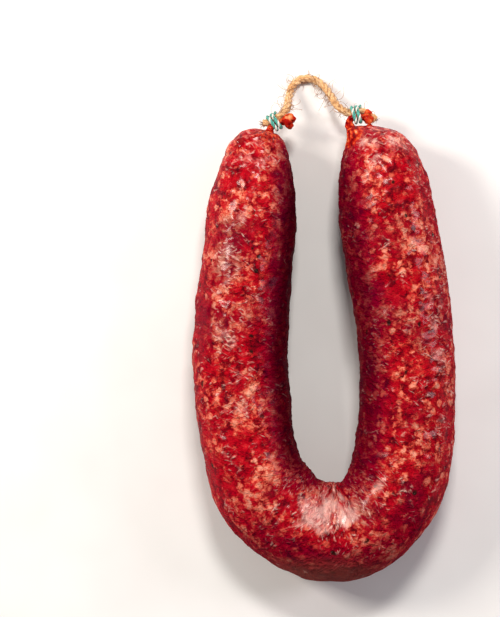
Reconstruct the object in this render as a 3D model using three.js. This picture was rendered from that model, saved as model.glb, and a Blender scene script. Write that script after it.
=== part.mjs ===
// A dry-cured sausage in a horseshoe: one filled gut bent into a U, each end gathered into a neck and
// bound with two-colour twine, and the two necks joined by a hanging loop of jute cord.
// It lies on its side, as on a table. X runs across the U, Y from the bend towards the tied ends and
// Z up, with the origin on the table under the middle of the sausage and its bindings. Millimetres.

import * as THREE from 'three';

// The filled gut: where its centreline runs, and its radius there
const SPINE = [
  { x: -25.6, y: 86.2, radius: 18.2 }, // left end
  { x: -30.2, y: 36.2, radius: 18.6 }, // left arm
  { x: -33.4, y: -13.8, radius: 19.1 },
  { x: -25.4, y: -57.2, radius: 19.3 },
  { x: -12.2, y: -71.6, radius: 19.4 },
  { x: 2.4, y: -77.3, radius: 19.4 }, // bottom of the bend
  { x: 16.2, y: -73.4, radius: 19.4 },
  { x: 28.4, y: -57.4, radius: 19.4 },
  { x: 33.6, y: -17.8, radius: 19.3 },
  { x: 28.0, y: 34.2, radius: 19.6 }, // right arm
  { x: 19.4, y: 86.4, radius: 19.6 }, // right end
];
const SETTLE = 0.8; // how far the underside has flattened on the table
const SIDES = 36; // points round the gut
const BODY_RINGS = 88;
const DOME_RINGS = 12;
const NECK_RINGS = 20;

// Each end: how long and blunt its dome is, where the dome's tip is, and the neck that leaves it
const NECK_HEIGHT = 14;
const GATHER_RADIUS = 1.9; // where the gathered gut leaves the dome
const TIED_RADIUS = 1.3; // squeezed under the twine
const LEAN_FROM = 0.38; // share of narrowing at which a dome starts to lean towards its tip
const LEFT_END = {
  domeLength: 50,
  bluntness: 0.48,
  tip: { x: -21.8, y: 83.6 },
  heading: 70, // degrees of the neck's start, from +X towards +Y
  neck: [
    { x: -21.2, y: 85.4 },
    { x: -19.0, y: 86.9 }, // middle of the binding
    { x: -16.8, y: 87.7 },
    { x: -14.6, y: 88.1 },
    { x: -12.6, y: 88.1 },
  ],
  bindingAt: 1,
  bindingHeading: 28, // degrees, from +X towards +Y
  tailRadius: 2.0,
};
const RIGHT_END = {
  domeLength: 40,
  bluntness: 0.48,
  tip: { x: 10.5, y: 85.8 },
  heading: 95,
  neck: [
    { x: 10.3, y: 87.6 },
    { x: 11.0, y: 89.1 },
    { x: 13.6, y: 89.7 }, // middle of the binding
    { x: 15.4, y: 89.7 },
    { x: 17.0, y: 89.6 },
    { x: 18.4, y: 89.3 },
  ],
  bindingAt: 2,
  bindingHeading: 8,
  tailRadius: 2.1,
};

// Relief of the gut
const LUMP_DEPTH = 0.45; // uneven filling
const PLEATS = 7; // gathers that run into each neck
const PLEAT_DEPTH = 0.16; // as a share of the radius
const CREASES = [
  // folds across the inside of the bend: the share of the way along the spine, the depth and the width
  { at: 0.447, depth: 0.9, width: 2.4 },
  { at: 0.483, depth: 1.5, width: 1.7 },
  { at: 0.514, depth: 1.1, width: 1.5 },
  { at: 0.556, depth: 1.2, width: 2.6 },
];
const CREASE_REACH = 1.5; // radians each side of the innermost line

// Twine and cord
const TWINE_RADIUS = 0.6;
const TWINE_TURNS = 2.1;
const TWINE_PITCH = 1.75;
const CORD_RADIUS = 1.4;
const GAP = 0.6; // between pieces that touch in the real thing
const CORD_SIDE = { across: 0.7, down: 0.71 }; // where the cord lies beside the neck, under the twine
const CORD_STEPS = 60;
const CORD_SIDES = 8;
const CORD_ROUTE = [
  [21.2, 89.2, 8.6], // cut end
  [18.8, 90.8, 9.2],
  [15.6, 92.2, 11.7],
  [13.1, 91.8, 11.7], // under the right binding
  [10.6, 91.5, 11.7],
  [6.2, 94.4, 9.0],
  [3.4, 99.0, 4.6],
  [0.4, 103.4, 1.9],
  [-3.8, 106.2, 1.45],
  [-8.6, 106.4, 1.45],
  [-12.2, 103.6, 1.9],
  [-13.8, 98.6, 4.8],
  [-14.8, 93.6, 8.8],
  [-17.8, 90.0, 11.7],
  [-20.1, 88.9, 11.7], // under the left binding
  [-22.3, 87.7, 11.7],
  [-24.4, 87.4, 11.8], // cut end
];

const TO_MIDDLE = { x: -0.07, y: 0.8 };

const smooth = THREE.MathUtils.smoothstep;
const lerp = THREE.MathUtils.lerp;
const flat = (p) => new THREE.Vector3(p.x, p.y, 0);

// The spine's third coordinate carries the radius, so one curve gives both
const spine = new THREE.CatmullRomCurve3(
  SPINE.map((p) => new THREE.Vector3(p.x, p.y, p.radius)),
  false,
  'centripetal',
);
spine.arcLengthDivisions = 800;
const SPINE_LENGTH = spine.getLength();

function spineAt(share) {
  const p = spine.getPointAt(share);
  const t = spine.getTangentAt(share);
  return { centre: flat(p), radius: p.z, forward: flat(t).normalize() };
}

// Height above the gut's own radius, in millimetres, at a distance along the spine and an angle round it
function lumps(distance, angle) {
  const long = 0.55 * Math.sin(distance / 11.3 + 1.4 * Math.sin(angle + 0.5));
  const middle = 0.35 * Math.sin(distance / 6.1 + 2 * angle + 1.9);
  const short = 0.25 * Math.sin(distance / 3.7 - 3 * angle + 0.6);
  return LUMP_DEPTH * (long + middle + short);
}

// Angle 0 points out of the U, so the inside of the bend is at half a turn
function creases(share, angle) {
  const fromInside = Math.abs(Math.PI - angle);
  const fade = 1 - smooth(fromInside, 0.5 * CREASE_REACH, CREASE_REACH);
  let height = 0;
  for (const crease of CREASES) {
    const away = ((share - crease.at) * SPINE_LENGTH) / crease.width;
    height -= crease.depth * Math.exp(-away * away) * fade;
  }
  return height;
}

function pleats(angle, strength) {
  return 1 + PLEAT_DEPTH * strength * Math.cos(PLEATS * angle + 0.8 * Math.sin(2 * angle));
}

// A ring of points round a centre, square to the way forward, with no point below the table
function ring(centre, forward, radiusAt) {
  const out = new THREE.Vector3(forward.y, -forward.x, 0).normalize();
  const points = [];
  for (let i = 0; i < SIDES; i++) {
    const angle = (i / SIDES) * 2 * Math.PI;
    const radius = radiusAt(angle);
    const p = centre.clone().addScaledVector(out, radius * Math.cos(angle));
    p.z += radius * Math.sin(angle);
    p.z = Math.max(p.z, 0);
    points.push(p);
  }
  return points;
}

// How much of its full radius the dome has, at a distance from its tip
function domeShare(end, distance) {
  const left = 1 - Math.min(distance / end.domeLength, 1);
  return Math.pow(1 - left * left, end.bluntness);
}

// Centre, direction and radius of the gut at a distance from the left end of the spine
function gutAt(distance) {
  const fromRight = SPINE_LENGTH - distance;
  const isLeft = distance < fromRight;
  const end = isLeft ? LEFT_END : RIGHT_END;
  const { centre, radius: full, forward } = spineAt(distance / SPINE_LENGTH);
  const share = domeShare(end, Math.min(distance, fromRight));
  const radius = lerp(GATHER_RADIUS, full, share);
  const narrowed = 1 - radius / full;
  const spineEnd = isLeft ? SPINE[0] : SPINE[SPINE.length - 1];
  const tipNarrowed = 1 - GATHER_RADIUS / full;
  const lean = Math.pow(Math.max((narrowed - LEAN_FROM) / (tipNarrowed - LEAN_FROM), 0), 1.25);
  centre.x += (end.tip.x - spineEnd.x) * lean;
  centre.y += (end.tip.y - spineEnd.y) * lean;
  centre.z = lerp(full - SETTLE, NECK_HEIGHT, lean);
  const heading = direction(end.heading).multiplyScalar(isLeft ? -1 : 1);
  forward.lerp(heading, lean).normalize();
  return { centre, forward, radius, narrowed };
}

function direction(degrees) {
  const angle = THREE.MathUtils.degToRad(degrees);
  return new THREE.Vector3(Math.cos(angle), Math.sin(angle), 0);
}

function gutRing(distance) {
  const { centre, forward, radius, narrowed } = gutAt(distance);
  const share = distance / SPINE_LENGTH;
  const gathered = Math.pow(narrowed, 3);
  const relief = (angle) => (lumps(distance, angle) + creases(share, angle)) * (1 - gathered);
  return ring(centre, forward, (angle) => radius * pleats(angle, gathered) + relief(angle));
}

// Neck and tail: from the dome's tip, through the binding, to the closed tip of the gut
function neckCurve(end, isLeft) {
  const start = gutAt(isLeft ? 0 : SPINE_LENGTH).centre;
  const points = [start, ...end.neck.map((p) => new THREE.Vector3(p.x, p.y, NECK_HEIGHT))];
  return new THREE.CatmullRomCurve3(points, false, 'centripetal');
}

function bindingSpan(end, curve) {
  const bound = curve.getLengths(400);
  const middle = bound[Math.round((400 * (end.bindingAt + 1)) / end.neck.length)];
  const half = (TWINE_PITCH * TWINE_TURNS) / 2 + TWINE_RADIUS;
  return { from: middle - half, middle, to: middle + half, length: bound[400] };
}

function neckRadius(end, span, distance) {
  if (distance < span.to) {
    return lerp(GATHER_RADIUS, TIED_RADIUS, smooth(distance, 0, 0.65 * span.from));
  }
  const along = (distance - span.to) / (span.length - span.to);
  const knob = lerp(TIED_RADIUS, end.tailRadius, smooth(along, 0.05, 0.5));
  return knob * Math.sqrt(Math.max(1 - Math.pow(along, 4), 0.01));
}

function neckRings(end, isLeft) {
  const curve = neckCurve(end, isLeft);
  const span = bindingSpan(end, curve);
  const rings = [];
  for (let i = 1; i <= NECK_RINGS; i++) {
    const share = i / NECK_RINGS;
    const distance = share * span.length;
    const radius = neckRadius(end, span, distance);
    const forward = curve.getTangentAt(share).multiplyScalar(isLeft ? -1 : 1);
    const tied = distance > span.from && distance < span.to ? 0 : 1;
    rings.push(ring(curve.getPointAt(share), forward, (angle) => radius * pleats(angle, tied)));
  }
  return { rings, tip: curve.getPointAt(1) };
}

// One closed skin through rings of equal count, closed by a point at each end
function skin(rings, firstTip, lastTip) {
  const points = [firstTip, ...rings.flat(), lastTip];
  const last = points.length - 1;
  const at = (r, i) => 1 + r * SIDES + (i % SIDES);
  const index = [];
  for (let i = 0; i < SIDES; i++) {
    index.push(0, at(0, i), at(0, i + 1));
    index.push(last, at(rings.length - 1, i + 1), at(rings.length - 1, i));
    for (let r = 0; r + 1 < rings.length; r++) {
      index.push(at(r, i), at(r + 1, i), at(r + 1, i + 1));
      index.push(at(r, i), at(r + 1, i + 1), at(r, i + 1));
    }
  }
  const geometry = new THREE.BufferGeometry().setFromPoints(points);
  geometry.setIndex(index);
  geometry.computeVertexNormals();
  return geometry;
}

function sausageGeometry() {
  const left = neckRings(LEFT_END, true);
  const right = neckRings(RIGHT_END, false);
  const distances = [];
  for (let i = 0; i < DOME_RINGS; i++) {
    distances.push(LEFT_END.domeLength * 0.5 * Math.pow(i / DOME_RINGS, 2.2));
  }
  const bodyFrom = LEFT_END.domeLength * 0.5;
  const bodyTo = SPINE_LENGTH - RIGHT_END.domeLength * 0.5;
  for (let i = 0; i <= BODY_RINGS; i++) {
    distances.push(lerp(bodyFrom, bodyTo, i / BODY_RINGS));
  }
  for (let i = DOME_RINGS - 1; i >= 0; i--) {
    distances.push(SPINE_LENGTH - RIGHT_END.domeLength * 0.5 * Math.pow(i / DOME_RINGS, 2.2));
  }
  const rings = [...left.rings.reverse(), ...distances.map(gutRing), ...right.rings];
  return skin(rings, left.tip, right.tip);
}

// A tube of a round section along a curve, closed flat at both ends
function tube(curve, radius, sides, steps) {
  const section = [];
  for (let i = 0; i < sides; i++) {
    const angle = (i / sides) * 2 * Math.PI;
    section.push(new THREE.Vector2(radius * Math.cos(angle), radius * Math.sin(angle)));
  }
  const options = { steps, extrudePath: curve, bevelEnabled: false };
  return new THREE.ExtrudeGeometry(new THREE.Shape(section), options);
}

// The place under a binding: middle of the neck, the way along it, and the way from it to the cord
function bindingFrame(end) {
  const middle = new THREE.Vector3(end.neck[end.bindingAt].x, end.neck[end.bindingAt].y, NECK_HEIGHT);
  const along = direction(end.bindingHeading);
  const toCord = new THREE.Vector3(-along.y, along.x, 0).multiplyScalar(CORD_SIDE.across);
  toCord.z -= CORD_SIDE.down;
  return { middle, along, toCord: toCord.normalize() };
}

// The twine winds round the neck and the cord together, on an oval that clears both
function bindingGeometry(end) {
  const { middle, along, toCord } = bindingFrame(end);
  const beside = new THREE.Vector3().crossVectors(along, toCord);
  const apart = TIED_RADIUS + GAP + CORD_RADIUS;
  const long = (apart + TIED_RADIUS + CORD_RADIUS) / 2 + GAP + TWINE_RADIUS;
  const wide = CORD_RADIUS * 1.12 + GAP + TWINE_RADIUS;
  const centre = middle.clone().addScaledVector(toCord, (apart + CORD_RADIUS - TIED_RADIUS) / 2);
  const perTurn = 20;
  const points = [];
  for (let i = 0; i <= perTurn * TWINE_TURNS; i++) {
    const turn = i / perTurn;
    const angle = turn * 2 * Math.PI;
    const p = centre.clone().addScaledVector(along, (turn - TWINE_TURNS / 2) * TWINE_PITCH);
    p.addScaledVector(toCord, long * Math.cos(angle));
    p.addScaledVector(beside, wide * Math.sin(angle));
    points.push(p);
  }
  const curve = new THREE.CatmullRomCurve3(points);
  return tube(curve, TWINE_RADIUS, 8, Math.round(22 * TWINE_TURNS));
}

function cordGeometry() {
  const curve = new THREE.CatmullRomCurve3(CORD_ROUTE.map((p) => new THREE.Vector3(...p)));
  return tube(curve, CORD_RADIUS, CORD_SIDES, CORD_STEPS);
}

// The numbers above were taken from the middle of the loop's legs; the origin is the middle of the whole
function piece(name, geometry, color, roughness) {
  geometry.translate(TO_MIDDLE.x, TO_MIDDLE.y, 0);
  const material = new THREE.MeshStandardMaterial({ color, roughness, metalness: 0 });
  const mesh = new THREE.Mesh(geometry, material);
  mesh.name = name;
  return mesh;
}

const part = new THREE.Group();
part.add(piece('sausage', sausageGeometry(), 0xa0141e, 0.4));
part.add(piece('left_binding', bindingGeometry(LEFT_END), 0x4c9a8a, 0.9));
part.add(piece('right_binding', bindingGeometry(RIGHT_END), 0x4c9a8a, 0.9));
part.add(piece('hanging_cord', cordGeometry(), 0xd3a468, 0.95));

export default part;
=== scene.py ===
import math
import random

import bpy
import numpy as np
from mathutils import Matrix, Vector


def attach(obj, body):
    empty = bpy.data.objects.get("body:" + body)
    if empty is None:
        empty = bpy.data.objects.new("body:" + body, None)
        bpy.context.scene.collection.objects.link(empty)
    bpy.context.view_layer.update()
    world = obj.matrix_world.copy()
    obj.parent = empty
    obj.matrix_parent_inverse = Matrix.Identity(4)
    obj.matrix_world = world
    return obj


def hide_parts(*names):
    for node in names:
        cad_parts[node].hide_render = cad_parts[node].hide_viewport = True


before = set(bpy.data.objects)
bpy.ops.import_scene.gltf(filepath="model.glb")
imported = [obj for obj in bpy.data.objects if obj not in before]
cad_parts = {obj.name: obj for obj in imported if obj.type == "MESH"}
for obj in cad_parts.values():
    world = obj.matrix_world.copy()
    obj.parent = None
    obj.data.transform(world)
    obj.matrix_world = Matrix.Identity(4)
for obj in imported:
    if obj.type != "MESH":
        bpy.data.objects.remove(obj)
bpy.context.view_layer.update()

# A dry-cured sausage in a horseshoe, with its two ends tied in twine and joined by a loop of jute cord.
# It lies flat and is looked at from straight above. X runs across it and Y from the bend to the ties.
MM = 0.001

# Centreline of the filled gut, from the left end round the bend to the right end, in metres
SPINE = [
    (-0.02567, 0.0870, 0.0174),
    (-0.03027, 0.0370, 0.0178),
    (-0.03347, -0.0130, 0.0183),
    (-0.02547, -0.0564, 0.0185),
    (-0.01227, -0.0708, 0.0186),
    (0.00233, -0.0765, 0.0186),
    (0.01613, -0.0726, 0.0186),
    (0.02833, -0.0566, 0.0185),
    (0.03353, -0.0170, 0.0185),
    (0.02793, 0.0350, 0.0188),
    (0.01933, 0.0872, 0.0188),
]

# Each tied end: where bare casing starts, where the gathers meet, the middle of the binding and the cut
# tail, with the ways of the gathers and the binding in degrees from +X
ENDS = {
    "left": {
        "drawn_from": (-0.02420, 0.0800, 0.0220),
        "root": (-0.02187, 0.0844, 0.0140),
        "root_heading": 70,
        "tie": (-0.01907, 0.0877, 0.0140),
        "tie_heading": 28,
        "tail": (-0.01267, 0.0889, 0.0140),
    },
    "right": {
        "drawn_from": (0.01130, 0.0822, 0.0230),
        "root": (0.01043, 0.0866, 0.0140),
        "root_heading": 95,
        "tie": (0.01353, 0.0905, 0.0140),
        "tie_heading": 8,
        "tail": (0.01833, 0.0901, 0.0140),
    },
}

# Route of the jute cord, from its cut end past the right tie, down to the table and up to the left tie
CORD_ROUTE = [
    (0.02113, 0.0900, 0.0086),
    (0.01873, 0.0916, 0.0092),
    (0.01553, 0.0930, 0.0117),
    (0.01303, 0.0926, 0.0117),
    (0.01053, 0.0923, 0.0117),
    (0.00613, 0.0952, 0.0090),
    (0.00333, 0.0998, 0.0046),
    (0.00033, 0.1042, 0.0019),
    (-0.00387, 0.1070, 0.00145),
    (-0.00867, 0.1072, 0.00145),
    (-0.01227, 0.1044, 0.0019),
    (-0.01387, 0.0994, 0.0048),
    (-0.01487, 0.0944, 0.0088),
    (-0.01787, 0.0908, 0.0117),
    (-0.02017, 0.0897, 0.0117),
    (-0.02237, 0.0885, 0.0117),
    (-0.02447, 0.0882, 0.0118),
]
CORD_DIAMETER = 2.8 * MM
CORD_RADIUS = CORD_DIAMETER / 2
CORD_POINTS = 160

# Twine bindings, as wound round a neck and the cord together
TWINE_RADIUS = 0.68 * MM
TWINE_TURNS = 2.1
TWINE_PITCH = 1.85 * MM
TWINE_POINTS_A_TURN = 40
NECK_RADIUS = 1.3 * MM
CORD_FROM_NECK = 3.3 * MM
TWINE_GAP = 0.2 * MM
TWINE_WIDENING = 1.12
CORD_ACROSS = 0.70
CORD_DOWN = 0.71


def linear(text):
    """Linear colour of an sRGB hex value such as #A0141E."""
    channels = [int(text[i : i + 2], 16) / 255 for i in (1, 3, 5)]
    return [c / 12.92 if c <= 0.04045 else ((c + 0.055) / 1.055) ** 2.4 for c in channels] + [1.0]


def add(tree, kind, settings=None, inputs=None, stops=None):
    """Adds a node: its settings, then its sockets, each given a constant or the output that feeds it."""
    node = tree.nodes.new(kind)
    for name, value in (settings or {}).items():
        setattr(node, name, value)
    for socket, value in (inputs or {}).items():
        if isinstance(value, bpy.types.NodeSocket):
            tree.links.new(value, node.inputs[socket])
        else:
            node.inputs[socket].default_value = value
    if stops:
        ramp = node.color_ramp
        while len(ramp.elements) < len(stops):
            ramp.elements.new(0.5)
        for element, (place, value) in zip(ramp.elements, stops):
            element.position = place
            element.color = linear(value)
    return node


def scale_of(size):
    """A pattern's scale, from the size of its features in millimetres."""
    return 1000 / size


def new_material(name):
    material = bpy.data.materials.new(name)
    material.use_nodes = True
    material.node_tree.nodes.clear()
    return material, material.node_tree


def deselect():
    bpy.ops.object.select_all(action="DESELECT")


def make_active(piece):
    deselect()
    piece.select_set(True)
    bpy.context.view_layer.objects.active = piece


def apply_modifiers(piece):
    make_active(piece)
    for modifier in list(piece.modifiers):
        bpy.ops.object.modifier_apply(modifier=modifier.name)


def points_of(piece):
    """The piece's vertices as rows of numbers."""
    places = np.zeros(len(piece.data.vertices) * 3)
    piece.data.vertices.foreach_get("co", places)
    return places.reshape(-1, 3)


def set_points(piece, places):
    piece.data.vertices.foreach_set("co", places.ravel())
    piece.data.update()


def rest_on_table(piece):
    """Flattens the piece where it would dip below the table."""
    places = points_of(piece)
    places[:, 2] = np.maximum(places[:, 2], 0)
    set_points(piece, places)


def store(piece, name, values):
    """Keeps a number or a vector for each vertex, for the relief and the materials to read."""
    if values.ndim == 2:
        attribute = piece.data.attributes.new(name, "FLOAT_VECTOR", "POINT")
        attribute.data.foreach_set("vector", values.astype(np.float32).ravel())
    else:
        attribute = piece.data.attributes.new(name, "FLOAT", "POINT")
        attribute.data.foreach_set("value", values.astype(np.float32))


STEPS_BETWEEN_STATIONS = 40


def smooth_route(stations, count):
    """Evenly spaced points on the smooth curve through the stations (centripetal Catmull-Rom)."""
    p = [Vector(s) for s in stations]
    p = [2 * p[0] - p[1]] + p + [2 * p[-1] - p[-2]]
    fine = []
    for i in range(1, len(p) - 2):
        a, b, c, d = p[i - 1 : i + 3]
        t1 = max((b - a).length, 1e-9) ** 0.5
        t2 = t1 + max((c - b).length, 1e-9) ** 0.5
        t3 = t2 + max((d - c).length, 1e-9) ** 0.5
        for k in range(STEPS_BETWEEN_STATIONS):
            t = t1 + (t2 - t1) * k / STEPS_BETWEEN_STATIONS
            ab = a.lerp(b, t / t1)
            bc = b.lerp(c, (t - t1) / (t2 - t1))
            cd = c.lerp(d, (t - t2) / (t3 - t2))
            abc = ab.lerp(bc, t / t2)
            bcd = bc.lerp(cd, (t - t1) / (t3 - t1))
            fine.append(abc.lerp(bcd, (t - t1) / (t2 - t1)))
    fine.append(p[-2])
    fine = np.array(fine)
    steps = np.linalg.norm(np.diff(fine, axis=0), axis=1)
    run = np.concatenate([[0], np.cumsum(steps)])
    wanted = np.linspace(0, run[-1], count)
    return np.stack([np.interp(wanted, run, fine[:, i]) for i in range(3)], axis=1)


def length_of(route):
    return float(np.linalg.norm(np.diff(route, axis=0), axis=1).sum())


def way(degrees):
    return Vector((math.cos(math.radians(degrees)), math.sin(math.radians(degrees)), 0))


def ramp_up(values, low, high):
    """0 below low, 1 above high, smooth between."""
    t = np.clip((values - low) / (high - low), 0, 1)
    return t * t * (3 - 2 * t)


# Camera: straight above, with the long side of the frame along Y
CAMERA_PLACE = (-0.02967, 0.0136, 0.919)
CAMERA_LENS = 131.3


def make_camera():
    data = bpy.data.cameras.new("overhead_camera")
    data.sensor_width = 36
    data.lens = CAMERA_LENS
    camera = bpy.data.objects.new("overhead_camera", data)
    camera.location = CAMERA_PLACE
    bpy.context.scene.collection.objects.link(camera)
    bpy.context.scene.camera = camera


make_camera()


def guide_along(route):
    """A curve that a straight rope is bent along."""
    data = bpy.data.curves.new("guide", "CURVE")
    data.dimensions = "3D"
    data.twist_mode = "MINIMUM"
    spline = data.splines.new("POLY")
    spline.points.add(len(route) - 1)
    for point, place in zip(spline.points, route):
        point.co = (*place, 1)
    guide = bpy.data.objects.new("guide", data)
    bpy.context.scene.collection.objects.link(guide)
    return guide


# A rope: its strands and their sides, the rings in a turn of the twist, and the size of its lumps
STRANDS = 3
STRAND_SIDES = 12
RINGS_A_TURN = 20
ROPE_MERGE = 0.001 * MM
ROPE_LUMPS = 1.1 * MM


def laid_rope(name, route, strand_radius, from_axis, pitch, unevenness):
    """Strands twisted round each other as a straight rope, then bent along the route.

    The straight rope's own coordinates stay with it as the attribute "laid", with "strand" as the
    number of the strand, so a pattern follows the twist.
    """
    length = length_of(route)
    turns = max(round(length / pitch), 1)
    deselect()
    bpy.ops.object.add(type="MESH", location=(0, 0, 0))
    rope = bpy.context.object
    rope.name = rope.data.name = name
    bpy.ops.object.mode_set(mode="EDIT")
    for i in range(STRANDS):
        angle = 2 * math.pi * i / STRANDS
        place = (from_axis * math.cos(angle), from_axis * math.sin(angle), 0)
        bpy.ops.mesh.primitive_circle_add(vertices=STRAND_SIDES, radius=strand_radius, location=place)
    bpy.ops.object.mode_set(mode="OBJECT")
    screw = rope.modifiers.new("twist", "SCREW")
    screw.angle = 2 * math.pi
    screw.screw_offset = length / turns
    screw.iterations = turns
    screw.steps = screw.render_steps = RINGS_A_TURN
    apply_modifiers(rope)
    bpy.ops.object.mode_set(mode="EDIT")
    bpy.ops.mesh.select_all(action="SELECT")
    bpy.ops.mesh.remove_doubles(threshold=ROPE_MERGE)
    bpy.ops.mesh.fill_holes(sides=0)
    bpy.ops.mesh.select_all(action="SELECT")
    bpy.ops.mesh.normals_make_consistent(inside=False)
    bpy.ops.object.mode_set(mode="OBJECT")
    straight = points_of(rope)
    store(rope, "laid", straight)
    angle = np.arctan2(straight[:, 1], straight[:, 0]) - 2 * math.pi * straight[:, 2] * turns / length
    store(rope, "strand", np.round(angle / (2 * math.pi) * STRANDS) % STRANDS)
    fibres = bpy.data.textures.new(name + "_fibres", "CLOUDS")
    fibres.noise_scale = ROPE_LUMPS
    uneven = rope.modifiers.new("uneven", "DISPLACE")
    uneven.texture = fibres
    uneven.texture_coords = "LOCAL"
    uneven.strength = unevenness
    uneven.mid_level = 0.5
    guide = guide_along(route)
    bend = rope.modifiers.new("bend", "CURVE")
    bend.object = guide
    bend.deform_axis = "POS_Z"
    apply_modifiers(rope)
    bpy.data.objects.remove(guide)
    make_active(rope)
    bpy.ops.object.shade_smooth()
    return rope


# Real fibres are about 0.1 mm thick: these are drawn twice that, so that they show
FIBRE_RADIUS = 0.10 * MM
FIBRE_STEPS = 10
FIBRE_ABOVE_TABLE = 0.15 * MM


def curly_fibres(name, starts, seed):
    """Loose fibres as thin curling tubes: each start is a place, a way out, a length and a curl."""
    rng = random.Random(seed)
    data = bpy.data.curves.new(name, "CURVE")
    data.dimensions = "3D"
    data.bevel_depth = FIBRE_RADIUS
    data.bevel_resolution = 0
    data.use_fill_caps = True
    for place, out, length, curl in starts:
        spline = data.splines.new("POLY")
        spline.points.add(FIBRE_STEPS)
        here = Vector(place)
        heading = Vector(out).normalized()
        axis = heading.cross(Vector([rng.uniform(-1, 1) for _ in range(3)])).normalized()
        for i in range(FIBRE_STEPS + 1):
            height = max(here.z, FIBRE_ABOVE_TABLE)
            spline.points[i].co = (here.x, here.y, height, 1)
            spline.points[i].radius = 1.0 - 0.5 * i / FIBRE_STEPS
            here = here + heading * (length / FIBRE_STEPS)
            turn = Matrix.Rotation(curl / FIBRE_STEPS * rng.uniform(0.4, 1.6), 3, axis)
            heading = (turn @ heading).normalized()
            axis = (axis + Vector([rng.uniform(-0.3, 0.3) for _ in range(3)])).normalized()
    piece = bpy.data.objects.new(name, data)
    bpy.context.scene.collection.objects.link(piece)
    make_active(piece)
    bpy.ops.object.convert(target="MESH")
    return bpy.context.object


# Fibres along the cord, with their lengths in millimetres, and those that brush out at each cut end
FIBRE_COUNT = 240
FIBRE_LENGTHS = (2.0, 3.0, 4.5, 8.0)
FIBRE_ROOT_AT = 0.85
BRUSH_COUNT = 16
BRUSH_INSIDE = 0.3


def cord_fibre_starts(route, seed):
    """Fibres stand off the cord all round it, and brush out at its cut ends."""
    rng = random.Random(seed)
    starts = []
    for _ in range(FIBRE_COUNT):
        i = rng.randrange(2, len(route) - 2)
        along = Vector(route[i + 1] - route[i - 1]).normalized()
        around = along.orthogonal().normalized()
        out = Matrix.Rotation(rng.uniform(0, 2 * math.pi), 3, along) @ around
        lean = along * rng.choice((-1, 1)) * rng.uniform(0.6, 2.2)
        place = Vector(route[i]) + out * CORD_RADIUS * FIBRE_ROOT_AT
        length = rng.choice(FIBRE_LENGTHS) * rng.uniform(0.7, 1.2) * MM
        starts.append((place, out + lean, length, rng.uniform(1.0, 5.0)))
    for end, inner in ((0, 2), (-1, -3)):
        along = Vector(route[end] - route[inner]).normalized()
        around = along.orthogonal().normalized()
        for _ in range(BRUSH_COUNT):
            out = Matrix.Rotation(rng.uniform(0, 2 * math.pi), 3, along) @ around
            place = Vector(route[end]) + out * rng.uniform(0, 1.1) * MM - along * BRUSH_INSIDE * MM
            starts.append((place, along + out * rng.uniform(0, 0.5), rng.uniform(0.8, 2.4) * MM, 1.0))
    return starts


cord_path = smooth_route(CORD_ROUTE, CORD_POINTS)
jute_cord = laid_rope(
    "jute_cord",
    cord_path,
    strand_radius=0.88 * MM,
    from_axis=0.72 * MM,
    pitch=8.2 * MM,
    unevenness=0.34 * MM,
)
rest_on_table(jute_cord)
jute_fibres = curly_fibres("jute_fibres", cord_fibre_starts(cord_path, seed=3), seed=4)


def binding_route(end):
    """The twine's way round the neck and the cord, as in the solid that it replaces."""
    along = way(end["tie_heading"])
    to_cord = Vector((-along.y * CORD_ACROSS, along.x * CORD_ACROSS, -CORD_DOWN)).normalized()
    beside = along.cross(to_cord)
    apart = CORD_FROM_NECK
    long = (apart + NECK_RADIUS + CORD_RADIUS) / 2 + TWINE_GAP + TWINE_RADIUS
    wide = CORD_RADIUS * TWINE_WIDENING + TWINE_GAP + TWINE_RADIUS
    centre = Vector(end["tie"]) + to_cord * (apart + CORD_RADIUS - NECK_RADIUS) / 2
    route = []
    for i in range(int(TWINE_POINTS_A_TURN * TWINE_TURNS) + 1):
        turn = i / TWINE_POINTS_A_TURN
        angle = 2 * math.pi * turn
        place = centre + along * (turn - TWINE_TURNS / 2) * TWINE_PITCH
        place += to_cord * long * math.cos(angle) + beside * wide * math.sin(angle)
        route.append(place)
    return np.array(route)


bindings = {}
for side, end in ENDS.items():
    bindings[side] = laid_rope(
        side + "_twine",
        binding_route(end),
        strand_radius=0.40 * MM,
        from_axis=0.37 * MM,
        pitch=4.6 * MM,
        unevenness=0.06 * MM,
    )

# The gut's skin is the solid's own surface, smoothed and given its relief. Its larger creases: their way
# across the upper side, their height in millimetres, and the height above the table that they start from.
FOLDS = [
    {
        "way": [(0.0135, -0.0420), (0.0160, -0.0476), (0.0203, -0.0510), (0.0243, -0.0564)],
        "height": 1.3,
        "from": 18 * MM,
        "width": 0.9 * MM,
    },
    {"way": [(-0.0375, 0.0782), (-0.0320, 0.0806), (-0.0225, 0.0826)], "height": 1.4, "from": 16 * MM},
    {
        "way": [(0.0002, -0.0570), (0.0043, -0.0576), (0.0080, -0.0568)],
        "height": 1.3,
        "from": 6 * MM,
        "width": 2.0 * MM,
    },
    {"way": [(-0.0013, -0.0560), (-0.0006, -0.0630), (0.0002, -0.0705)], "height": -1.0, "from": 8 * MM},
    {"way": [(0.0030, -0.0560), (0.0042, -0.0620), (0.0040, -0.0690)], "height": 0.6, "from": 8 * MM},
    {"way": [(0.0062, -0.0555), (0.0078, -0.0600), (0.0115, -0.0655)], "height": -0.9, "from": 8 * MM},
    {"way": [(-0.0090, -0.0500), (-0.0058, -0.0570), (-0.0045, -0.0640)], "height": -0.7, "from": 8 * MM},
]
FOLD_WIDTH = 1.1 * MM
FOLD_RISE = 8 * MM
# The skin's vertices are matched to the centreline some rows at a time, to spare memory
ROWS_AT_ONCE = 4000


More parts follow.
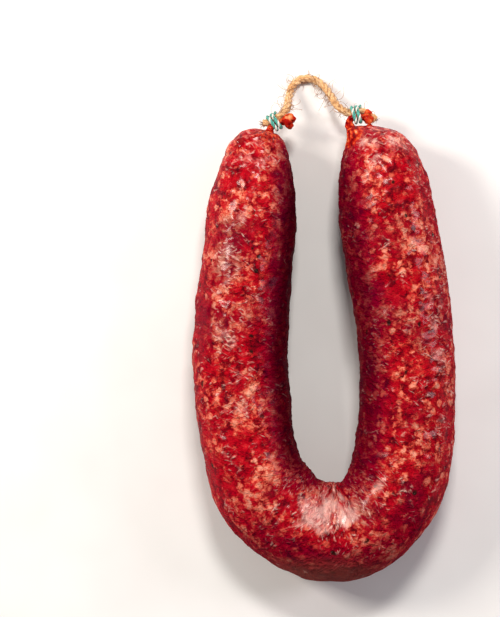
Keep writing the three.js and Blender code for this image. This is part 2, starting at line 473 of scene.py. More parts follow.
def gut_coordinates(places, spine):
    """Distance along the gut, out of the U and up from its centreline, for each place."""
    forward = np.gradient(spine, axis=0)
    forward /= np.linalg.norm(forward, axis=1)[:, None]
    out = np.stack([forward[:, 1], -forward[:, 0], np.zeros(len(spine))], axis=1)
    out /= np.linalg.norm(out, axis=1)[:, None]
    run = np.concatenate([[0], np.cumsum(np.linalg.norm(np.diff(spine, axis=0), axis=1))])
    nearest = np.zeros(len(places), int)
    for first in range(0, len(places), ROWS_AT_ONCE):
        rows = places[first : first + ROWS_AT_ONCE]
        gap = ((rows[:, None, :2] - spine[None, :, :2]) ** 2).sum(2)
        nearest[first : first + ROWS_AT_ONCE] = gap.argmin(1)
    away = places - spine[nearest]
    along = run[nearest] + (away * forward[nearest]).sum(1)
    return np.stack([along, (away * out[nearest]).sum(1), away[:, 2]], axis=1)


# Distances from where the gathers meet: where the skin is drawn in, and where its pleats begin
DRAWN_IN = (2 * MM, 18 * MM)
PLEATS_BEGIN = (4 * MM, 8 * MM)
PAST_GATHERS = (-3 * MM, 0)
PLEAT_COUNT = 34


def gathers(places, end):
    """How strongly the skin is drawn in towards a tie, and the height of its slightly wandering pleats."""
    root = np.array(end["root"])
    along = np.array(way(end["root_heading"]))
    side = np.array((-along[1], along[0], 0))
    away = places - root
    distance = np.linalg.norm(away, axis=1)
    strength = 1 - ramp_up(distance, *DRAWN_IN)
    angle = np.arctan2(away[:, 2], away @ side)
    beyond = ramp_up(away @ along, *PAST_GATHERS)
    wander = 2.2 * np.sin(3 * angle + 1.0) + 0.9 * np.sin(distance / (3 * MM) + 4 * angle)
    pleat = np.sin(PLEAT_COUNT * angle + wander)
    begun = ramp_up(distance, *PLEATS_BEGIN)
    return strength, pleat * strength * begun * (1 - beyond)


def from_line(places, stations):
    """Each place's distance from a line through the stations, and how far along it that is, as a share."""
    line = np.array(stations)
    best = np.full(len(places), 1.0)
    share = np.zeros(len(places))
    for i in range(len(line) - 1):
        step = line[i + 1] - line[i]
        t = np.clip(((places - line[i]) @ step) / (step @ step), 0, 1)
        gap = np.linalg.norm(places - line[i] - t[:, None] * step, axis=1)
        nearer = gap < best
        best = np.where(nearer, gap, best)
        share = np.where(nearer, (i + t) / (len(line) - 1), share)
    return best, share


# Distances from the neck's line for bare casing and its frill, past the tie, and to the tie's lower side
BARE_ROUND_NECK = (2.5 * MM, 7.5 * MM)
FRILL_ROUND_TAIL = (3.0 * MM, 4.0 * MM)
PAST_TIE = (2.6 * MM, 4.2 * MM)
LOWER_SIDE = (-0.5 * MM, 1.5 * MM)
FULLER_BELOW = 0.55


def bare_casing(places, end):
    """Where the casing has no meat behind it; how full its frill is past the twine; and how tanned that is.

    The frill is fuller on the side towards the sausage, where it lies against it, and dries on the other.
    """
    gap, share = from_line(places, [end["drawn_from"], end["root"], end["tie"], end["tail"]])
    bare = 1 - ramp_up(gap, *BARE_ROUND_NECK)
    along = way(end["tie_heading"])
    away = places - np.array(end["tie"])
    frill = ramp_up(away @ np.array(along), *PAST_TIE)
    frill *= (1 - ramp_up(gap, *FRILL_ROUND_TAIL)) * (share > 0.5)
    low = ramp_up(away @ np.array((along.y, -along.x, 0)), *LOWER_SIDE)
    return bare, frill * (1 + FULLER_BELOW * low), frill * (1 - low)


def fold_heights(places, fold):
    """Height of a raised or sunken crease of the casing along its way, on the upper side."""
    best, ends = from_line(places[:, :2], fold["way"])
    taper = np.sin(math.pi * np.clip(ends, 0.02, 0.98)) ** 0.6
    upper = ramp_up(places[:, 2], fold["from"], fold["from"] + FOLD_RISE)
    return fold["height"] * taper * upper * np.exp(-((best / fold.get("width", FOLD_WIDTH)) ** 2))


# Where the casing lies loose and milky over the meat, partly as a painted sheen, and where it is dry and
# dull
FILM_AND_SHEEN_PATCHES = [
    {"at": (0.001, -0.0645, 0.036), "reach": (0.017, 0.013, 0.016), "strength": 1.25},
    {"at": (0.0205, 0.0800, 0.030), "reach": (0.014, 0.012, 0.018), "strength": 0.65},
    {"at": (-0.031, 0.075, 0.032), "reach": (0.012, 0.011, 0.014), "strength": 0.85},
    {"at": (-0.0365, 0.006, 0.034), "reach": (0.009, 0.060, 0.014), "strength": 0.5},
    {"at": (0.046, 0.020, 0.028), "reach": (0.009, 0.070, 0.014), "strength": 0.45},
    {"at": (0.0185, -0.0540, 0.034), "reach": (0.006, 0.007, 0.012), "strength": 1.3},
]
DULL_PATCHES = [
    {"at": (0.001, -0.090, 0.024), "reach": (0.024, 0.009, 0.016), "strength": 1.5},
]


def patches(places, spots):
    """Each spot's strength near its middle, falling to 0 just past its reach."""
    most = np.zeros(len(places))
    for spot in spots:
        away = (places - np.array(spot["at"])) / np.array(spot["reach"])
        near = 1 - ramp_up(np.linalg.norm(away, axis=1), 0.25, 1.25)
        most = np.maximum(most, near * spot.get("strength", 1))
    return most


# Shares of the gut's length: the middle of the bend, and where the left arm passes into the right one
BEND_AT = 0.50
LEFT_TO_RIGHT = (0.50, 0.66)
BEND_REACH = 26 * MM
# Distances from the gut's centreline over which painted shade darkens its sides, and heights over which it
# darkens the underside
INNER_SIDE = (4 * MM, 16 * MM)
OUTER_SIDE = (9 * MM, 18 * MM)
OUTER_BEND = (-1 * MM, 9 * MM)
UNDERSIDE = (-12 * MM, 2 * MM)


def painted_side_shade(gut, length):
    """How dark the sides of the gut are painted, as painted shade: deep inside the arms, less outside and
    in the bend, and under the gut.
    """
    from_bend = (gut[:, 0] - length * BEND_AT) / BEND_REACH
    bend = np.exp(-(from_bend ** 2))
    wide_bend = np.exp(-(from_bend * 0.75) ** 2)
    left = 1 - ramp_up(gut[:, 0], length * LEFT_TO_RIGHT[0], length * LEFT_TO_RIGHT[1])
    inside = ramp_up(-gut[:, 1], *INNER_SIDE) * (1 - bend) * (0.74 + 0.12 * left)
    outside = ramp_up(gut[:, 1], *OUTER_SIDE) * (0.26 - 0.05 * left)
    outside = np.maximum(outside, ramp_up(gut[:, 1], *OUTER_BEND) * wide_bend * 0.54)
    under = 1 - ramp_up(gut[:, 2], *UNDERSIDE)
    return np.maximum(np.maximum(inside, outside), 0.6 * under)


def relief_modifier(piece, height_of):
    """Moves the skin along its normal by a height in metres, from noise on the gut's own coordinates."""
    tree = bpy.data.node_groups.new("relief", "GeometryNodeTree")
    tree.interface.new_socket("Geometry", in_out="INPUT", socket_type="NodeSocketGeometry")
    tree.interface.new_socket("Geometry", in_out="OUTPUT", socket_type="NodeSocketGeometry")
    source = add(tree, "NodeGroupInput")
    normal = add(tree, "GeometryNodeInputNormal")
    height = height_of(tree)
    offset = add(
        tree,
        "ShaderNodeVectorMath",
        {"operation": "SCALE"},
        {0: normal.outputs["Normal"], "Scale": height},
    )
    moved = add(
        tree,
        "GeometryNodeSetPosition",
        inputs={"Geometry": source.outputs[0], "Offset": offset.outputs[0]},
    )
    add(tree, "NodeGroupOutput", inputs={0: moved.outputs[0]})
    modifier = piece.modifiers.new("relief", "NODES")
    modifier.node_group = tree
    apply_modifiers(piece)


# Relief of the skin: the size and the height of its features in millimetres, and their slant in degrees
RELIEF_NOISE = [
    {"size": (17.0, 13.0, 13.0), "height": 0.90, "turn": 0},
    {"size": (5.0, 7.0, 7.0), "height": 0.50, "turn": 0},
    {"size": (2.4, 6.0, 6.0), "height": 0.38, "turn": 32},
    {"size": (2.2, 5.0, 5.0), "height": 0.32, "turn": -24},
]
PLEAT_HEIGHT = 0.40 * MM
CRUMPLE_SIZE = 1.7


def skin_height(tree):
    """Height of the skin in metres: lumps and wrinkles, then pleats, folds and the crumpled frill."""
    gut = add(tree, "GeometryNodeInputNamedAttribute", {"data_type": "FLOAT_VECTOR"}, {"Name": "gut"})
    pleats, folds, calm, frills = (
        add(tree, "GeometryNodeInputNamedAttribute", {"data_type": "FLOAT"}, {"Name": name})
        for name in ("pleat", "fold", "calm", "frill")
    )
    total = None
    for layer in RELIEF_NOISE:
        spread = [scale_of(size) for size in layer["size"]]
        turned = add(
            tree,
            "ShaderNodeVectorRotate",
            {"rotation_type": "Z_AXIS"},
            {"Vector": gut.outputs[0], "Angle": math.radians(-layer["turn"])},
        )
        stretched = add(
            tree, "ShaderNodeVectorMath", {"operation": "MULTIPLY"}, {0: turned.outputs[0], 1: spread}
        )
        noise = add(
            tree,
            "ShaderNodeTexNoise",
            inputs={"Vector": stretched.outputs[0], "Scale": 1.0, "Detail": 1.0},
        )
        centred = add(
            tree, "ShaderNodeMath", {"operation": "SUBTRACT"}, {0: noise.outputs[0], 1: 0.5}
        )
        scaled = add(
            tree,
            "ShaderNodeMath",
            {"operation": "MULTIPLY"},
            {0: centred.outputs[0], 1: 2 * layer["height"] * MM},
        )
        if total is None:
            total = scaled
        else:
            total = add(
                tree, "ShaderNodeMath", {"operation": "ADD"}, {0: total.outputs[0], 1: scaled.outputs[0]}
            )
    total = add(
        tree, "ShaderNodeMath", {"operation": "MULTIPLY"}, {0: total.outputs[0], 1: calm.outputs[0]}
    )
    crumple = add(
        tree,
        "ShaderNodeTexNoise",
        inputs={"Vector": gut.outputs[0], "Scale": scale_of(CRUMPLE_SIZE), "Detail": 2.0},
    )
    puffed = add(
        tree, "ShaderNodeMath", {"operation": "MULTIPLY_ADD"}, {0: crumple.outputs[0], 1: 3.6, 2: -0.9}
    )
    frill = add(
        tree, "ShaderNodeMath", {"operation": "MULTIPLY"}, {0: puffed.outputs[0], 1: frills.outputs[0]}
    )
    for source, height in ((pleats, PLEAT_HEIGHT), (folds, MM), (frill, MM)):
        scaled = add(
            tree, "ShaderNodeMath", {"operation": "MULTIPLY"}, {0: source.outputs[0], 1: height}
        )
        total = add(
            tree, "ShaderNodeMath", {"operation": "ADD"}, {0: total.outputs[0], 1: scaled.outputs[0]}
        )
    return total.outputs[0]


# The gap within which the solid's vertices merge, and the height over which the skin grows lumpy
SKIN_MERGE = 0.02 * MM
FLAT_AT_TABLE = (0, 5 * MM)
SPINE_POINTS = 800


def make_skin():
    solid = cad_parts["sausage"]
    skin = bpy.data.objects.new("cured_sausage", solid.data.copy())
    skin.data.name = "cured_sausage"
    bpy.context.scene.collection.objects.link(skin)
    skin.data.materials.clear()
    for attribute in list(skin.data.attributes):
        if attribute.name.startswith("_FK"):
            skin.data.attributes.remove(attribute)
    make_active(skin)
    bpy.ops.object.mode_set(mode="EDIT")
    bpy.ops.mesh.select_all(action="SELECT")
    bpy.ops.mesh.remove_doubles(threshold=SKIN_MERGE)
    bpy.ops.mesh.tris_convert_to_quads()
    bpy.ops.object.mode_set(mode="OBJECT")
    finer = skin.modifiers.new("finer", "SUBSURF")
    finer.levels = finer.render_levels = 2
    apply_modifiers(skin)

    places = points_of(skin)
    spine = smooth_route(SPINE, SPINE_POINTS)
    gut = gut_coordinates(places, spine)
    store(skin, "gut", gut)
    store(skin, "side_shade", painted_side_shade(gut, length_of(spine)))
    strength, pleat, bare, frill, tanned = np.zeros((5, len(places)))
    for end in ENDS.values():
        drawn, height = gathers(places, end)
        strength = np.maximum(strength, drawn)
        pleat += height
        dry, full, upper = bare_casing(places, end)
        bare = np.maximum(bare, dry)
        frill += full
        tanned += upper
    store(skin, "bare", bare)
    store(skin, "pleat", pleat)
    store(skin, "frill", frill)
    store(skin, "tanned", tanned)
    store(skin, "fold", sum(fold_heights(places, fold) for fold in FOLDS))
    store(skin, "film_and_sheen", patches(places, FILM_AND_SHEEN_PATCHES))
    store(skin, "dull", patches(places, DULL_PATCHES))
    store(skin, "calm", (1 - strength ** 2) * ramp_up(places[:, 2], *FLAT_AT_TABLE))
    relief_modifier(skin, skin_height)
    rest_on_table(skin)
    make_active(skin)
    bpy.ops.object.shade_smooth()
    return skin


skin = make_skin()


# Short casing wrinkles run slantwise across the gut, in two directions: turn in degrees, sizes in metres
WRINKLE_SETS = [
    {"turn": 32, "size": (1.1 * MM, 3.4 * MM, 3.4 * MM)},
    {"turn": -24, "size": (1.2 * MM, 3.0 * MM, 3.0 * MM)},
]


def cased_meat_material():
    """Coarse-ground cured pork in a natural casing: a tight, slightly oily skin over red meat and soft fat.

    The eye gets deep red with salmon-orange fat, dark pepper, cloudy casing with painted sheen, small wet
    highlights with painted pale strokes, and painted shade on the sides and in the wrinkles' hollows.
    """
    material, tree = new_material("coarse_cured_pork_in_natural_casing")
    gut, bare, pleat, film_and_sheen, dull, side_shade, tanned = (
        add(tree, "ShaderNodeAttribute", {"attribute_name": name})
        for name in ("gut", "bare", "pleat", "film_and_sheen", "dull", "side_shade", "tanned")
    )
    where = gut.outputs["Vector"]

    # Torn, uneven edges of the ground pieces: the pattern is pushed about by a finer noise
    tear = add(tree, "ShaderNodeTexNoise", inputs={"Vector": where, "Scale": scale_of(2.0), "Detail": 4.0})
    centred = add(
        tree,
        "ShaderNodeVectorMath",
        {"operation": "SUBTRACT"},
        {0: tear.outputs["Color"], 1: (0.5, 0.5, 0.5)},
    )
    pushed = add(
        tree, "ShaderNodeVectorMath", {"operation": "SCALE"}, {0: centred.outputs[0], "Scale": 3.4 * MM}
    )
    torn = add(tree, "ShaderNodeVectorMath", {"operation": "ADD"}, {0: where, 1: pushed.outputs[0]})
    torn = torn.outputs[0]

    # Fat comes in crowds: a slow noise raises and lowers its share
    crowd = add(tree, "ShaderNodeTexNoise", inputs={"Vector": where, "Scale": scale_of(17), "Detail": 2.0})
    smear = add(
        tree,
        "ShaderNodeTexNoise",
        inputs={"Vector": torn, "Scale": scale_of(3.3), "Detail": 5.0, "Roughness": 0.6},
    )
    crowded = add(
        tree,
        "ShaderNodeMath",
        {"operation": "MULTIPLY_ADD"},
        {0: crowd.outputs["Fac"], 1: 0.55, 2: smear.outputs["Fac"]},
    )
    smeared = add(
        tree,
        "ShaderNodeMapRange",
        {"interpolation_type": "SMOOTHSTEP"},
        {"Value": crowded.outputs[0], "From Min": 0.685, "From Max": 1.05},
    )

    # Small dice of firmer fat, 1.5 to 2.5 mm, some deeper under the casing than others
    cell = add(tree, "ShaderNodeTexVoronoi", inputs={"Vector": torn, "Scale": scale_of(3.2)})
    parts = add(tree, "ShaderNodeSeparateColor", inputs={"Color": cell.outputs["Color"]})
    chosen = add(
        tree,
        "ShaderNodeMapRange",
        inputs={"Value": parts.outputs["Red"], "From Min": 0.56, "From Max": 0.98, "To Max": 0.95},
    )
    near = add(
        tree,
        "ShaderNodeMapRange",
        {"interpolation_type": "SMOOTHSTEP"},
        {"Value": cell.outputs["Distance"], "From Min": 0.74, "From Max": 0.16},
    )
    dice = add(
        tree, "ShaderNodeMath", {"operation": "MULTIPLY"}, {0: chosen.outputs[0], 1: near.outputs[0]}
    )
    fat = add(
        tree, "ShaderNodeMath", {"operation": "MAXIMUM"}, {0: smeared.outputs[0], 1: dice.outputs[0]}
    )

    # Lean meat between the fat, from almost black to bright red
    grain = add(
        tree,
        "ShaderNodeTexNoise",
        inputs={"Vector": torn, "Scale": scale_of(4.4), "Detail": 6.0, "Roughness": 0.62},
    )
    meat = add(
        tree,
        "ShaderNodeValToRGB",
        inputs={"Fac": grain.outputs["Fac"]},
        stops=[
            (0.32, "#3A000A"),
            (0.42, "#740010"),
            (0.50, "#A40014"),
            (0.60, "#BA0C1C"),
            (0.75, "#D23838"),
        ],
    )
    lard = add(
        tree,
        "ShaderNodeValToRGB",
        inputs={"Fac": fat.outputs[0]},
        stops=[(0.10, "#AE0816"), (0.38, "#CC3C30"), (0.66, "#E67258"), (0.97, "#F4A68C")],
    )
    share = add(
        tree,
        "ShaderNodeMapRange",
        inputs={"Value": fat.outputs[0], "From Min": 0.06, "From Max": 0.55, "To Max": 0.90},
    )
    ground = add(
        tree,
        "ShaderNodeMix",
        {"data_type": "RGBA"},
        {0: share.outputs[0], 6: meat.outputs[0], 7: lard.outputs[0]},
    )

    # Broad darker and bluer parts, where the meat has dried more
    bruise = add(tree, "ShaderNodeTexNoise", inputs={"Vector": where, "Scale": scale_of(24), "Detail": 3.0})
    darker = add(
        tree,
        "ShaderNodeMapRange",
        {"interpolation_type": "SMOOTHSTEP"},
        {"Value": bruise.outputs["Fac"], "From Min": 0.48, "From Max": 0.70, "To Max": 0.60},
    )
    dried = add(
        tree,
        "ShaderNodeMix",
        {"data_type": "RGBA"},
        {0: darker.outputs[0], 6: ground.outputs[2], 7: linear("#640020")},
    )

    # Painted shade: the sides are darker than the crown, first plum and deep inside almost black
    side_darkened = add(
        tree,
        "ShaderNodeMix",
        {"data_type": "RGBA", "blend_type": "MULTIPLY"},
        {0: side_shade.outputs["Fac"], 6: dried.outputs[2], 7: linear("#D05A5A")},
    )
    side_shade_colour = add(
        tree,
        "ShaderNodeValToRGB",
        inputs={"Fac": side_shade.outputs["Fac"]},
        stops=[(0.10, "#960A30"), (0.45, "#64002A"), (0.92, "#22000A")],
    )
    side_shaded = add(
        tree,
        "ShaderNodeMix",
        {"data_type": "RGBA"},
        {0: side_shade.outputs["Fac"], 6: side_darkened.outputs[2], 7: side_shade_colour.outputs[0]},
    )

    # Cracked pepper, about 1.4 mm across, with uneven outlines
    chip = add(
        tree, "ShaderNodeVectorMath", {"operation": "SCALE"}, {0: centred.outputs[0], "Scale": 2.6 * MM}
    )
    gritty = add(tree, "ShaderNodeVectorMath", {"operation": "ADD"}, {0: where, 1: chip.outputs[0]})
    grind = add(
        tree, "ShaderNodeTexVoronoi", inputs={"Vector": gritty.outputs[0], "Scale": scale_of(6.4)}
    )
    draw = add(tree, "ShaderNodeSeparateColor", inputs={"Color": grind.outputs["Color"]})
    few = add(tree, "ShaderNodeMath", {"operation": "GREATER_THAN"}, {0: draw.outputs["Blue"], 1: 0.76})
    speck = add(
        tree,
        "ShaderNodeMapRange",
        {"interpolation_type": "SMOOTHSTEP"},
        {"Value": grind.outputs["Distance"], "From Min": 0.19, "From Max": 0.08, "To Max": 0.95},
    )
    pepper = add(
        tree, "ShaderNodeMath", {"operation": "MULTIPLY"}, {0: few.outputs[0], 1: speck.outputs[0]}
    )
    spiced = add(
        tree,
        "ShaderNodeMix",
        {"data_type": "RGBA"},
        {0: pepper.outputs[0], 6: side_shaded.outputs[2], 7: linear("#241410")},
    )

    # Slanting wrinkles of the casing: crests get short pale strokes as painted highlights, hollows are
    # darkened as painted shade
    crown = add(tree, "ShaderNodeMath", {"operation": "SUBTRACT"}, {0: 1.0, 1: side_shade.outputs["Fac"]})
    crests = None
    for layer in WRINKLE_SETS:
        turned = add(
            tree,
            "ShaderNodeMapping",
            {"vector_type": "TEXTURE"},
            {"Vector": where, "Rotation": (0, 0, math.radians(layer["turn"])), "Scale": layer["size"]},
        )
        wrinkle = add(
            tree,
            "ShaderNodeTexNoise",
            inputs={"Vector": turned.outputs[0], "Scale": 1.0, "Detail": 2.0, "Distortion": 0.4},
        )
        if crests is None:
            crests = wrinkle
        else:
            crests = add(
                tree,
                "ShaderNodeMath",
                {"operation": "MAXIMUM"},
                {0: crests.outputs[0], 1: wrinkle.outputs[0]},
            )
    # Painted shade: the hollows between the wrinkles are darkened
    painted_hollow_shade = add(
        tree,
        "ShaderNodeMapRange",
        {"interpolation_type": "SMOOTHSTEP"},
        {"Value": crests.outputs[0], "From Min": 0.50, "From Max": 0.40, "To Max": 0.45},
    )
    hollow_shaded = add(
        tree,
        "ShaderNodeMix",
        {"data_type": "RGBA"},
        {0: painted_hollow_shade.outputs[0], 6: spiced.outputs[2], 7: linear("#6A000C")},
    )

    # Cloudy casing and painted sheen: milky wisps, strongest where the casing lies loose over the meat and
    # kept off the darkened sides; partly the casing's own film, partly a painted soft highlight
    cloud = add(
        tree,
        "ShaderNodeTexNoise",
        inputs={"Vector": where, "Scale": scale_of(8), "Detail": 5.0, "Roughness": 0.6},
    )
    thicker = add(
        tree,
        "ShaderNodeMath",
        {"operation": "MULTIPLY_ADD"},
        {0: film_and_sheen.outputs["Fac"], 1: 0.28, 2: cloud.outputs["Fac"]},
    )
    wispy = add(
        tree,
        "ShaderNodeMath",
        {"operation": "MULTIPLY_ADD"},
        {0: crests.outputs[0], 1: 0.3, 2: thicker.outputs[0]},
    )
    milky = add(
        tree,
        "ShaderNodeMapRange",
        {"interpolation_type": "SMOOTHSTEP"},
        {"Value": wispy.outputs[0], "From Min": 0.78, "From Max": 1.13, "To Max": 0.82},
    )
    lit = add(
        tree,
        "ShaderNodeMapRange",
        {"interpolation_type": "SMOOTHSTEP"},
        {"Value": side_shade.outputs["Fac"], "From Min": 0.26, "From Max": 0.04},
    )
    shown = add(
        tree, "ShaderNodeMath", {"operation": "MULTIPLY"}, {0: milky.outputs[0], 1: lit.outputs[0]}
    )
    milk_and_sheen = add(
        tree,
        "ShaderNodeMix",
        {"data_type": "RGBA"},
        {0: shown.outputs[0], 6: hollow_shaded.outputs[2], 7: linear("#ECBAB0")},
    )

    # Under the bend the casing is dry and brownish, and dulls the red of the meat
    greyed = add(
        tree,
        "ShaderNodeMath",
        {"operation": "MULTIPLY"},
        {0: dull.outputs["Fac"], 1: cloud.outputs["Fac"]},
    )
    dulled = add(
        tree,
        "ShaderNodeMix",
        {"data_type": "RGBA"},
        {0: greyed.outputs[0], 6: milk_and_sheen.outputs[2], 7: linear("#8C443C")},
    )

    # Painted highlights: pale strokes on the crests, kept to the crown, in clusters where the casing is
    # cloudy
    glint_stroke = add(
        tree,
        "ShaderNodeMapRange",
        {"interpolation_type": "SMOOTHSTEP"},
        {"Value": crests.outputs[0], "From Min": 0.59, "From Max": 0.73},
    )
    gathered = add(
        tree,
        "ShaderNodeMapRange",
        {"interpolation_type": "SMOOTHSTEP"},
        {"Value": thicker.outputs[0], "From Min": 0.48, "From Max": 0.64, "To Max": 0.60},
    )
    painted_glints = add(
        tree, "ShaderNodeMath", {"operation": "MULTIPLY"}, {0: glint_stroke.outputs[0], 1: gathered.outputs[0]}
    )
    crown_glints = add(
        tree, "ShaderNodeMath", {"operation": "MULTIPLY"}, {0: painted_glints.outputs[0], 1: crown.outputs[0]}
    )
    glinted = add(
        tree,
        "ShaderNodeMix",
        {"data_type": "RGBA"},
        {0: crown_glints.outputs[0], 6: dulled.outputs[2], 7: linear("#F0C0B0")},
    )

    # Where it is drawn together the casing has no meat behind it, and dries to orange-red with pale pleats
    paler = add(
        tree,
        "ShaderNodeMath",
        {"operation": "MULTIPLY_ADD"},
        {0: tanned.outputs["Fac"], 1: 0.14, 2: tear.outputs["Fac"]},
    )
    streaked = add(
        tree,
        "ShaderNodeMath",
        {"operation": "MULTIPLY_ADD"},
        {0: pleat.outputs["Fac"], 1: 0.2, 2: paler.outputs[0]},
    )
    hide = add(
        tree,
        "ShaderNodeValToRGB",
        inputs={"Fac": streaked.outputs[0]},
        stops=[
            (0.36, "#6C060A"),
            (0.47, "#A8140E"),
            (0.57, "#CC381C"),
            (0.66, "#DE7038"),
            (0.80, "#F0B48C"),
        ],
    )
    frayed = add(
        tree,
        "ShaderNodeMath",
        {"operation": "MULTIPLY_ADD"},
        {0: crests.outputs[0], 1: 0.8, 2: bare.outputs["Fac"]},
    )
    drawn = add(
        tree,
        "ShaderNodeMath",
        {"operation": "MULTIPLY_ADD"},
        {0: pleat.outputs["Fac"], 1: 0.45, 2: frayed.outputs[0]},
    )
    dry = add(
        tree,
        "ShaderNodeMapRange",
        {"interpolation_type": "SMOOTHSTEP"},
        {"Value": drawn.outputs[0], "From Min": 0.60, "From Max": 1.10, "To Max": 0.95},
    )
    base = add(
        tree,
        "ShaderNodeMix",
        {"data_type": "RGBA"},
        {0: dry.outputs[0], 6: glinted.outputs[2], 7: hide.outputs[0]},
    )

    # Height of the skin: wrinkles across the gut, a little swelling over the fat, and a fine grain
    fine = add(tree, "ShaderNodeTexNoise", inputs={"Vector": where, "Scale": scale_of(1.3), "Detail": 3.0})
    swell = add(
        tree,
        "ShaderNodeMath",
        {"operation": "MULTIPLY_ADD"},
        {0: fat.outputs[0], 1: 0.15, 2: fine.outputs["Fac"]},
    )
    puckered = add(
        tree,
        "ShaderNodeMath",
        {"operation": "MULTIPLY_ADD"},
        {0: crests.outputs[0], 1: 2.2, 2: swell.outputs[0]},
    )
    bump = add(
        tree,
        "ShaderNodeBump",
        inputs={"Height": puckered.outputs[0], "Strength": 1.0, "Distance": 0.75 * MM},
    )

    # The casing is oilier where it is clear and on the crown, and its flanks hardly shine
    rough = add(
        tree,
        "ShaderNodeMapRange",
        inputs={
            "Value": cloud.outputs["Fac"],
            "From Min": 0.3,
            "From Max": 0.7,
            "To Min": 0.24,
            "To Max": 0.38,
        },
    )
    oily = add(
        tree,
        "ShaderNodeMapRange",
        inputs={"Value": side_shade.outputs["Fac"], "From Max": 0.28, "To Min": 0.36, "To Max": 0.04},
    )
    shader = add(
        tree,
        "ShaderNodeBsdfPrincipled",
        inputs={
            "Base Color": base.outputs[2],
            "Roughness": rough.outputs[0],
            "IOR": 1.45,
            "Specular IOR Level": 0.0,
            "Subsurface Weight": 0.06,
            "Subsurface Radius": (1.0, 0.25, 0.12),
            "Subsurface Scale": 1.5 * MM,
            "Coat Weight": oily.outputs[0],
            "Coat IOR": 1.4,
            "Coat Roughness": 0.16,
            "Normal": bump.outputs[0],
        },
    )
    add(tree, "ShaderNodeOutputMaterial", inputs={"Surface": shader.outputs[0]})
    return material


# Size across and along the strands of the streaks that their fibres make, in millimetres. Real fibres are
# about 0.06 mm thick in jute and 0.02 mm in cotton: the streaks are drawn wider, so that they show.
JUTE_STREAK = (0.35, 0.35, 3.0)
TWINE_STREAK = (0.18, 0.18, 1.5)
LAST_DYED_PLY = 1


def jute_material():
    """Jute: hard, dry plant fibre, spun coarse, so it is matt, straw-coloured and streaked lengthways."""
    material, tree = new_material("spun_jute_fibre")
    laid = add(tree, "ShaderNodeAttribute", {"attribute_name": "laid"})
    stretched = add(
        tree,
        "ShaderNodeVectorMath",
        {"operation": "MULTIPLY"},
        {0: laid.outputs["Vector"], 1: [scale_of(size) for size in JUTE_STREAK]},
    )
    fibres = add(
        tree, "ShaderNodeTexNoise", inputs={"Vector": stretched.outputs[0], "Scale": 1.0, "Detail": 3.0}
    )
    shade = add(
        tree, "ShaderNodeTexNoise", inputs={"Vector": laid.outputs["Vector"], "Scale": scale_of(4.0)}
    )
    both = add(
        tree,
        "ShaderNodeMath",
        {"operation": "MULTIPLY_ADD"},
        {0: shade.outputs["Fac"], 1: 0.5, 2: fibres.outputs["Fac"]},
    )
    colour = add(
        tree,
        "ShaderNodeValToRGB",
        inputs={"Fac": both.outputs[0]},
        stops=[(0.50, "#96582A"), (0.64, "#CC9258"), (0.78, "#E2B47E"), (0.94, "#F2D4A8")],
    )
    bump = add(
        tree,
        "ShaderNodeBump",
        inputs={"Height": fibres.outputs["Fac"], "Strength": 0.8, "Distance": 0.15 * MM},
    )
    shader = add(
        tree,
        "ShaderNodeBsdfPrincipled",
        inputs={
            "Base Color": colour.outputs[0],
            "Roughness": 0.85,
            "Sheen Weight": 0.25,
            "Sheen Roughness": 0.5,
            "Normal": bump.outputs[0],
        },
    )
    add(tree, "ShaderNodeOutputMaterial", inputs={"Surface": shader.outputs[0]})
    return material


def loose_fibre_material():
    """Single jute fibres: thin and dry, from straw to dark brown, with a faint sheen."""
    material, tree = new_material("loose_jute_fibres")
    place = add(tree, "ShaderNodeTexCoord")
    shade = add(
        tree, "ShaderNodeTexNoise", inputs={"Vector": place.outputs["Object"], "Scale": scale_of(3.0)}
    )
    colour = add(
        tree,
        "ShaderNodeValToRGB",
        inputs={"Fac": shade.outputs["Fac"]},
        stops=[(0.32, "#5E3A22"), (0.46, "#94603A"), (0.60, "#BC8658"), (0.75, "#DCB88C")],
    )
    shader = add(
        tree,
        "ShaderNodeBsdfPrincipled",
        inputs={"Base Color": colour.outputs[0], "Roughness": 0.6, "Sheen Weight": 0.2},
    )
    add(tree, "ShaderNodeOutputMaterial", inputs={"Surface": shader.outputs[0]})
    return material


def twine_material():
    """Three-ply cotton butcher's twine, two dyed plies and one white: matt, soft and a little fuzzy."""
    material, tree = new_material("three_ply_butchers_twine")
    laid = add(tree, "ShaderNodeAttribute", {"attribute_name": "laid"})
    strand = add(tree, "ShaderNodeAttribute", {"attribute_name": "strand"})
    stretched = add(
        tree,
        "ShaderNodeVectorMath",
        {"operation": "MULTIPLY"},
        {0: laid.outputs["Vector"], 1: [scale_of(size) for size in TWINE_STREAK]},
    )
    fibres = add(
        tree, "ShaderNodeTexNoise", inputs={"Vector": stretched.outputs[0], "Scale": 1.0, "Detail": 2.0}
    )
    green = add(
        tree,
        "ShaderNodeValToRGB",
        inputs={"Fac": fibres.outputs["Fac"]},
        stops=[(0.35, "#0E5A50"), (0.5, "#2C9C8C"), (0.7, "#7CCCBC")],
    )
    white = add(
        tree,
        "ShaderNodeValToRGB",
        inputs={"Fac": fibres.outputs["Fac"]},
        stops=[(0.3, "#A8A498"), (0.5, "#DCDCD2"), (0.7, "#F0F0EA")],
    )
    undyed = add(
        tree,
        "ShaderNodeMath",
        {"operation": "GREATER_THAN"},
        {0: strand.outputs["Fac"], 1: LAST_DYED_PLY + 0.5},
    )
    colour = add(
        tree,
        "ShaderNodeMix",
        {"data_type": "RGBA"},
        {0: undyed.outputs[0], 6: green.outputs[0], 7: white.outputs[0]},
    )
    bump = add(
        tree,
        "ShaderNodeBump",
        inputs={"Height": fibres.outputs["Fac"], "Strength": 0.6, "Distance": 0.06 * MM},
    )
    shader = add(
        tree,
        "ShaderNodeBsdfPrincipled",
        inputs={
            "Base Color": colour.outputs[2],
            "Roughness": 0.6,
            "Sheen Weight": 0.3,
            "Normal": bump.outputs[0],
        },
    )
    add(tree, "ShaderNodeOutputMaterial", inputs={"Surface": shader.outputs[0]})
    return material


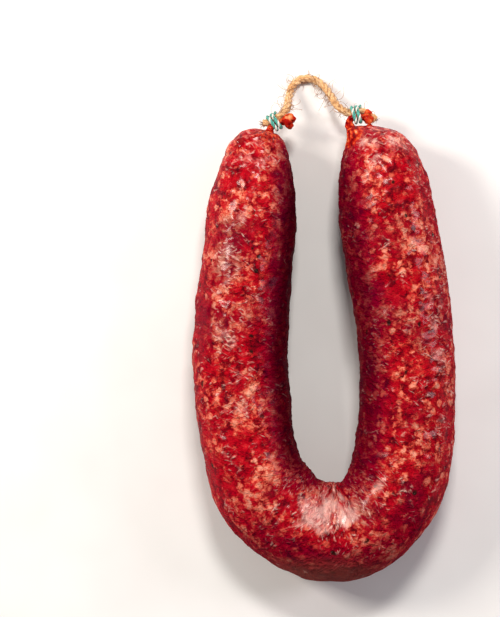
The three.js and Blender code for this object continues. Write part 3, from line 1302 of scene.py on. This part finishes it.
def table_material():
    """Matt white laminate: plain and pale, so that it only carries the light and the shadow."""
    material, tree = new_material("matt_white_laminate")
    place = add(tree, "ShaderNodeTexCoord")
    mottle = add(
        tree, "ShaderNodeTexNoise", inputs={"Vector": place.outputs["Object"], "Scale": scale_of(40)}
    )
    colour = add(
        tree,
        "ShaderNodeValToRGB",
        inputs={"Fac": mottle.outputs["Fac"]},
        stops=[(0.3, "#EEEDEC"), (0.7, "#F4F4F3")],
    )
    shader = add(
        tree, "ShaderNodeBsdfPrincipled", inputs={"Base Color": colour.outputs[0], "Roughness": 0.7}
    )
    add(tree, "ShaderNodeOutputMaterial", inputs={"Surface": shader.outputs[0]})
    return material


skin.data.materials.append(cased_meat_material())
jute_cord.data.materials.append(jute_material())
jute_fibres.data.materials.append(loose_fibre_material())
twine = twine_material()
for binding in bindings.values():
    binding.data.materials.append(twine)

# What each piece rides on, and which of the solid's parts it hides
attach(skin, "root")
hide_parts("sausage")
for side, binding in bindings.items():
    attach(binding, "root")
    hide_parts(side + "_binding")
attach(jute_cord, "root")
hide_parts("hanging_cord")
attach(jute_fibres, "root")
smooth_route(CORD_ROUTE, 36)


TABLE_SIZE = 4
TABLE_BELOW = 0.3 * MM


def make_table():
    deselect()
    bpy.ops.mesh.primitive_plane_add(size=TABLE_SIZE, location=(0, 0, -TABLE_BELOW))
    table = bpy.context.object
    table.name = "table_top"
    table.data.materials.append(table_material())


def add_light(name, place, aim, size, power, colour):
    data = bpy.data.lights.new(name, "AREA")
    data.shape = "RECTANGLE"
    data.size, data.size_y = size
    data.energy = power
    data.color = linear(colour)[:3]
    light = bpy.data.objects.new(name, data)
    light.location = place
    light.rotation_euler = (Vector(aim) - Vector(place)).to_track_quat("-Z", "Y").to_euler()
    bpy.context.scene.collection.objects.link(light)


def make_world():
    world = bpy.data.worlds.new("studio")
    world.use_nodes = True
    world.node_tree.nodes.clear()
    sky = add(
        world.node_tree, "ShaderNodeBackground", inputs={"Color": linear("#FFFFFF"), "Strength": 0.18}
    )
    add(world.node_tree, "ShaderNodeOutputWorld", inputs={"Surface": sky.outputs[0]})
    bpy.context.scene.world = world
    bpy.context.scene.view_settings.view_transform = "Standard"


# Softboxes: place, aimed at, width and height, power in watts and colour
SOFTBOXES = {
    "left_softbox": ((-0.70, 0.30, 0.60), (-0.02, 0, 0.02), (0.22, 0.3), 7.0, "#FFF6EC"),
    "right_softbox": ((0.75, 0.15, 0.45), (0.03, 0, 0.02), (0.2, 0.4), 2.8, "#F8ECF4"),
    "top_softbox": ((0.05, 0.60, 0.85), (0, 0, 0.02), (0.25, 0.15), 7.0, "#FFFAF4"),
}

make_table()
for name, softbox in SOFTBOXES.items():
    add_light(name, *softbox)
make_world()
